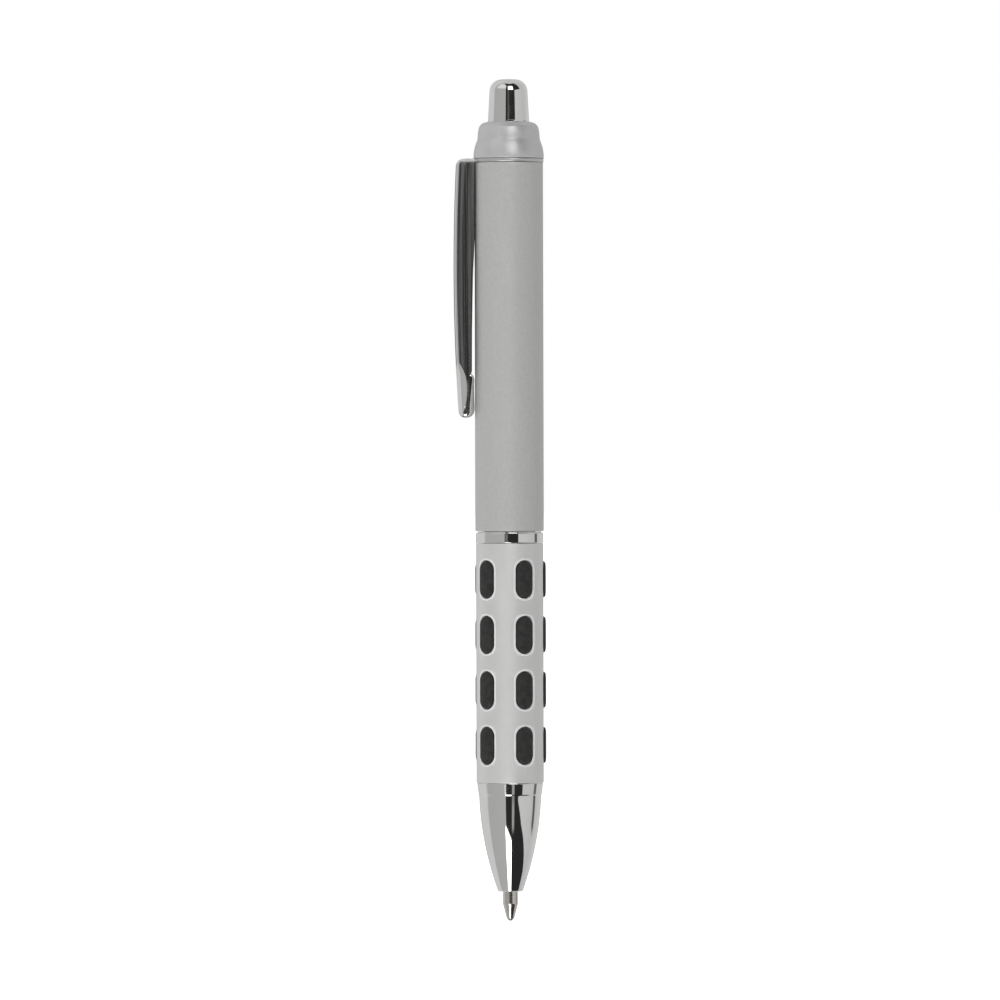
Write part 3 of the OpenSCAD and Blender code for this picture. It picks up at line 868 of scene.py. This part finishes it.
def clip_section(z, inset=0.0):
    """Half a level section of the clip, from the middle of its face to the inner edge of its wall."""
    crown = clip_crown(z, inset)
    tip = min(1.0, max(0.0, (z - clip_low) / spoon_half))
    half = clip_half + (spoon_half - clip_half) * smooth(z_spoon_top - z, 0.0, 1.6)
    half = half * math.sqrt(1 - (1 - tip) ** 2)
    top_round = 0.2
    past = z - (z_sheet_top - top_round)
    if past > 0:
        half -= top_round - math.sqrt(max(0.0, top_round ** 2 - past ** 2))
    half = max(0.03, half - inset)
    depth = max(0.1, skirt_depth(z) - inset)
    side = min(0.5 + 1.3 * smooth(z_spoon_top - z, 0.0, 2.4), 0.9 * half)
    bow = bulge * half / clip_half
    points = [(crown - bow * (i / 6) ** 2, (half - side) * i / 6) for i in range(6)]
    for i in range(11):
        lean = math.radians(9 * i)
        back = (depth - bow) * (1 - math.cos(lean))
        points.append((crown - bow - back, half - side + side * math.sin(lean)))
    edge = crown - depth
    wall, near = half, edge
    if z > z_spoon + 0.2:
        low_edge = along(WALL_EDGE, z - clip_low)
        wall = min(half, clip_half - inset)
        near = min(edge, low_edge + (edge - low_edge) * smooth(z_spoon + 2.4 - z, 0.0, 2.2))
    for i in range(17):
        x = edge + (near - edge) * i / 16
        points.append((x, wall + flare(crown + inset - x)))
    return points


def clip_spring():
    """The clip's sheet: a folded channel that ends in a domed spoon, with its foot folded up behind."""
    mesh = bmesh.new()
    heights = [clip_low + spoon_half * (1 - math.cos(math.radians(a))) for a in range(7, 88, 8)]
    heights += [clip_low + spoon_half + 0.25 * i for i in range(33)]
    rest = heights[-1]
    heights += [rest + (clip_corner[1] - rest) * i / 22 for i in range(1, 23)]
    hollow = clip_corner_r - clip_sheet
    heights += [clip_corner[1] + hollow * math.sin(math.radians(15 * i)) for i in range(1, 7)]
    inner_count = len(heights)
    roof = heights[-1]
    heights += [roof + (z_sheet_top - roof) * math.sin(math.radians(15 * i)) for i in range(1, 7)]

    def row(z, inset=0.0, lift=0.0):
        half = clip_section(z, inset)
        whole = [(x, -y) for x, y in reversed(half)] + half[1:]
        return [mesh.verts.new(Vector((-x, -y, z + lift)) * MM) for x, y in whole]

    outer = [row(z) for z in heights]
    inner = []
    for z in heights[:inner_count]:
        lift = 0.45 * max(0.0, 1 - (z - clip_low) / 1.4)
        inner.append(row(z + lift, clip_sheet))
    for group in (outer, inner):
        for a, b in zip(group, group[1:]):
            skin(mesh, a, b, closed=False)
    for side in (0, -1):
        for i in range(inner_count - 1):
            mesh.faces.new([outer[i][side], outer[i + 1][side], inner[i + 1][side], inner[i][side]])
    skin(mesh, outer[0], inner[0], closed=False)
    mesh.faces.new(outer[-1])
    mesh.faces.new(inner[-1])
    left = [outer[i][0] for i in range(inner_count - 1, len(outer))]
    right = [outer[i][-1] for i in range(inner_count - 1, len(outer))]
    mesh.faces.new(left + list(reversed(right)) + [inner[-1][-1], inner[-1][0]])
    mesh.normal_update()
    for face in mesh.faces:
        cut = abs(face.normal.y) > 0.6 and face.calc_center_median().z > z_sheet * MM
        face.material_index = 1 if cut else 0
    clip_foot(mesh)
    return solid("clip_spring", mesh, CLIP_STEEL, CUT_STEEL, sharp=34)


def clip_foot(mesh):
    """Adds the folded foot: it fills the end of the spoon, and its rounded back faces the barrel.

    Its tables give the distance of an edge from the pen's axis, the half width and the rounding of
    the back corners, at heights above the clip's end.
    """
    back_edge = (
        (1.35, 5.77), (2.8, 5.80), (4.3, 5.84), (5.6, 5.84), (6.3, 5.78), (6.9, 5.95), (7.35, 6.35),
        (7.5, 6.75),
    )
    front_edge = ((0.0, 7.2), (0.7, 7.6), (2.3, 7.7), (4.3, 7.5), (5.8, 7.2), (6.7, 6.95), (7.5, 6.85))
    widths = ((0.0, 0.9), (0.15, 1.4), (0.35, 1.68), (0.6, 1.75), (7.1, 1.75), (7.5, 1.6))
    roundings = ((0.0, 1.2), (1.5, 1.1), (5.5, 0.5), (7.5, 0.35))
    bend_r = curl_r - 0.02
    rises = [0.04 + (curl_r - 0.04) * (1 - math.cos(math.radians(a))) for a in range(8, 90, 8)]
    rises += [curl_r + 0.25 * i for i in range(1, 24)] + [7.25, 7.38, 7.48]
    made = []
    for rise in rises:
        back = along(back_edge, rise)
        if rise < curl_r:
            back = curl[0] - math.sqrt(max(0.0, bend_r ** 2 - (curl_r - rise) ** 2))
        front = max(along(front_edge, rise), back + 0.08)
        half = along(widths, rise)
        size = min(along(roundings, rise), 0.6 * half, 0.8 * (front - back))
        side = [(front, -half)]
        for i in range(9):
            lean = math.radians(90 * i / 8)
            side.append((back + size * (1 - math.sin(lean)), -half + size * (1 - math.cos(lean))))
        outline = side + [(x, -y) for x, y in reversed(side)]
        made.append([mesh.verts.new(Vector((-x, y, clip_low + rise)) * MM) for x, y in outline])
    for a, b in zip(made, made[1:]):
        skin(mesh, a, b)
    mesh.faces.new(made[0])
    mesh.faces.new(made[-1])


def clip_ring():
    """The ring under the collar, with the tab that runs out into the clip."""
    mesh = bmesh.new()
    outer = reach("clip_ring")
    flat = [
        (collar_seat_r, z_sheet), (outer, z_sheet), (outer, z_sheet_top), (collar_seat_r, z_sheet_top),
    ]
    turned(mesh, eased(flat, 0.16, 6), 160)
    tab_half, near, far = clip_half - 0.12, 4.9, barrel_r + 0.9
    low, high = z_sheet + 0.03, z_sheet_top - 0.03
    rim = eased([(tab_half, low), (tab_half, high), (-tab_half, high), (-tab_half, low)], 0.1, 5)
    ends = [[mesh.verts.new(Vector((-x, y, z)) * MM) for y, z in rim] for x in (near, far)]
    skin(mesh, *ends)
    mesh.faces.new(ends[0])
    mesh.faces.new(ends[1])
    return solid("clip_ring_steel", mesh, CUT_STEEL, sharp=34)


# ---- Refill and spring ----


def tip_holder():
    low, high = foot("tip_holder"), top("tip_holder")
    shoulder_z = 18.2
    outline = [
        (0.9, low), (point_r, low), (point_r, 10.2), (1.7, 10.6), (1.7, shoulder_z), (2.9, shoulder_z),
        (2.9, 18.97), (2.56, 18.97), (2.56, high), (0.6, high), (0.6, 8.53), (0.9, 8.53),
    ]
    return lathe("tip_holder_brass", eased(outline, 0.12), BRASS, segments=96)


def refill_tube():
    low, high, outer = foot("refill_tube"), top("refill_tube"), reach("refill_tube")
    outline = eased([(outer, low), (outer, high), (outer - 0.3, high), (outer - 0.3, low)], 0.08)
    return lathe("refill_tube_steel", outline, REFILL, segments=96)


def ink_column():
    low, high, outer = foot("ink_column"), top("ink_column"), reach("ink_column")
    outline = [(0.0, low), (outer, low), (outer, high), (0.0, high)]
    return lathe("ink_column_fill", eased(outline, 0.15), INK, segments=64)


def ink_follower():
    low, high, outer = foot("ink_follower"), top("ink_follower"), reach("ink_follower")
    meniscus = arc((outer, high), (0.0, high - 0.35), -0.25, 8)
    outline = [(0.0, low), (outer, low)] + meniscus[:-1] + [(0.0, high - 0.35)]
    return lathe("ink_follower_grease", outline, GREASE, segments=64)


def return_spring():
    low, high = foot("return_spring"), top("return_spring")
    wire_r = 0.2
    made = grow("return_spring_coil", spring_tree(), {
        "Coil radius": (reach("return_spring") - wire_r) * MM, "Wire radius": wire_r * MM, "Turns": 10.0,
        "Foot": low * MM, "Length": (high - low) * MM, "Closed turns": 1.0, "Finish": WIRE,
    })
    made.data.polygons.foreach_set("use_smooth", [True] * len(made.data.polygons))
    made.data.set_sharp_from_angle(angle=math.radians(50))
    return made


# ---- Pieces on their bodies; the clip, the spring and the carried nodes are on none ----

fit(nose_cone(), "lower_half", "chrome", "nose_cone")
fit(grip_sleeve(), "lower_half", "grip_metal", "grip_shell")
fit(grip_pads(), "lower_half", "grip_rubber", "grip_liner")
fit(writing_tip(), "refill", "point_metal", "tip_socket")
fit(writing_ball(), "ball", "ball_metal", "writing_ball")
fit(tip_holder(), "refill", "brass", "tip_holder")
fit(refill_tube(), "refill", "refill_steel", "refill_tube")
fit(ink_column(), "refill", "ink", "ink_column")
fit(ink_follower(), "refill", "grease", "ink_follower")
fit(center_ring(), "trim_ring", "chrome", "center_ring")
fit(upper_barrel(), "upper_half", "barrel_lacquer", "upper_barrel")
fit(top_collar(), "upper_half", "collar_plastic", "top_collar")
fit(clip_ring(), "upper_half", "chrome", "clip_ring")
fit(push_button(), "button", "chrome", "push_button")

clip = clip_spring()
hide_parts("clip_blade")
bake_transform(clip)

spring = return_spring()
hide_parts("return_spring")
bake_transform(spring)

CARRIED = {
    "lower_core": CORE, "refill_plug": PLUG, "upper_thread_insert": BRASS, "cam_guide": GUIDE,
    "rotor_cam": CAM, "thrust_cam": CAM,
}
for node, finish in CARRIED.items():
    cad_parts[node].data.materials.clear()
    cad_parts[node].data.materials.append(finish)

# ---- Studio ----


def tent():
    """White to the camera. To the pen, a pale light tent, with a dark gap at the camera and two lamps.

    Places in it are a turn, 0 at the camera and + to the right, and a rise, both in degrees.
    """
    world = bpy.data.worlds.new("Light tent")
    bpy.context.scene.world = world
    world.use_nodes = True
    graph = Graph(world.node_tree)
    graph.tree.nodes.clear()
    way = graph.node("ShaderNodeTexCoord").outputs["Generated"]
    parts = graph.node("ShaderNodeSeparateXYZ", Vector=way).outputs
    degrees = 180 / math.pi
    ahead = graph.math("MULTIPLY", parts["Y"], -1.0)
    turn = graph.math("MULTIPLY", graph.math("ARCTAN2", parts["X"], ahead), degrees)
    rise = graph.math("MULTIPLY", graph.math("ARCSINE", parts["Z"]), degrees)

    def step(value, edge, soft):
        return graph.span(value, graph.math("SUBTRACT", edge, soft), graph.math("ADD", edge, soft))

    def between(value, low, high, soft=1.5):
        leave = graph.math("SUBTRACT", 1.0, step(value, high, soft))
        return graph.math("MULTIPLY", step(value, low, soft), leave)

    def patch(turns, rises):
        return graph.math("MULTIPLY", between(turn, *turns), between(rise, *rises))

    def laid(under, over, share):
        """The light under, covered by a share of the light over."""
        mixed = graph.node("ShaderNodeMix", {"data_type": "FLOAT"})
        graph.feed(mixed.inputs[0], share)
        graph.feed(mixed.inputs[2], under)
        graph.feed(mixed.inputs[3], over)
        return mixed.outputs[0]

    def at(angle):
        return angle / 360 + 0.5

    round_about = graph.math("MULTIPLY_ADD", turn, 1 / 360, 0.5)
    cloth = graph.ramp(round_about, [
        (0.0, 0.52), (at(-150), 0.60), (at(-98), 0.60), (at(-90), 0.40), (at(-25), 0.42), (at(30), 0.58),
        (at(100), 0.50), (at(118), 0.54), (at(150), 0.60), (1.0, 0.52),
    ])
    light = graph.node("ShaderNodeRGBToBW", Color=cloth).outputs[0]
    far_side = graph.math("ABSOLUTE", turn)
    back_gap = graph.math("MULTIPLY", between(far_side, 164.0, 200.0), between(rise, -60.0, 4.0, 3.0))
    light = laid(light, 0.12, back_gap)
    light = laid(light, 0.72, patch((-78.0, -14.0, 6.0), (22.0, 62.0, 5.0)))
    light = laid(light, 0.11, patch((96.0, 109.0), (-13.0, 3.0)))

    # The dark gap, which is wider above and below
    above = graph.span(rise, 7.0, 16.0, 30.0, 74.0, soft=False)
    below = graph.span(rise, -16.0, -8.0, 46.0, 30.0, soft=False)
    lowest = graph.span(rise, -26.0, -16.0, 41.0, 0.0, soft=False)
    right_edge = graph.math("MAXIMUM", above, graph.math("ADD", below, lowest))
    left_edge = graph.span(rise, 50.0, 70.0, -17.0, -50.0, soft=False)
    light = laid(light, 0.022, patch((left_edge, right_edge), (-80.0, 72.0, 3.0)))

    # A pale streak across the gap
    low_part = graph.span(rise, -6.0, 0.0, 11.0, -11.0)
    streak_turn = graph.math("ADD", low_part, graph.span(rise, 0.0, 7.0, 0.0, 10.0))
    streak = between(graph.math("SUBTRACT", turn, streak_turn), -4.5, 4.5)
    streak_light = graph.span(rise, -12.0, -4.0, 0.34, 0.16)
    light = laid(light, streak_light, graph.math("MULTIPLY", streak, between(rise, -19.0, 9.0, 2.0)))

    # The low lamp, with a slanting upper edge, and the high lamp
    lamp_edge = graph.math("MULTIPLY_ADD", turn, 0.24, 21.9)
    under_edge = graph.span(graph.math("ADD", rise, lamp_edge), -1.0, 1.0, 1.0, 0.0)
    low_lamp = graph.math("MULTIPLY", between(turn, -19.0, 5.0), under_edge)
    low_lamp = graph.math("MULTIPLY", low_lamp, graph.span(rise, -72.0, -66.0))
    light = laid(light, 4.7, low_lamp)
    light = laid(light, 2.4, patch((-3.0, 28.0), (12.0, 46.0, 2.0)))

    seen = graph.node("ShaderNodeLightPath").outputs["Is Camera Ray"]
    light = laid(light, 1.0, seen)
    emit = graph.node("ShaderNodeBackground", Color=light, Strength=1.0)
    graph.node("ShaderNodeOutputWorld", Surface=emit.outputs[0])


def floor():
    """A broad pale floor that the pen stands on."""
    made = bpy.data.meshes.new("Floor")
    half = 40.0
    corners = [(-half, -half, 0), (half, -half, 0), (half, half, 0), (-half, half, 0)]
    made.from_pydata(corners, [], [(0, 1, 2, 3)])
    pale = Finish("Pale floor", Roughness=0.9, Emission_Strength=0.78, Emission_Color=(1, 1, 1, 1))
    pale.colour(pale.grain(30.0, 2.0), (0.3, (0.86, 0.86, 0.86)), (0.7, (0.88, 0.88, 0.88)))
    made.materials.append(pale.material)
    sheet = bpy.data.objects.new("Floor", made)
    bpy.context.scene.collection.objects.link(sheet)
    sheet.visible_glossy = False
    sheet.visible_diffuse = False
    sheet.visible_shadow = False


def camera():
    """Level, straight in front of the pen, a little below its middle."""
    lens = bpy.data.cameras.new("Camera")
    lens.lens = 324.5
    lens.sensor_width = 36.0
    lens.clip_start = 0.1
    lens.clip_end = 200.0
    made = bpy.data.objects.new("Camera", lens)
    bpy.context.scene.collection.objects.link(made)
    made.location = (-0.00158, -1.5, 0.070)
    made.rotation_euler = (math.radians(90), math.radians(0.14), 0)
    bpy.context.scene.camera = made


tent()
floor()
camera()
bpy.context.scene.view_settings.view_transform = "Standard"
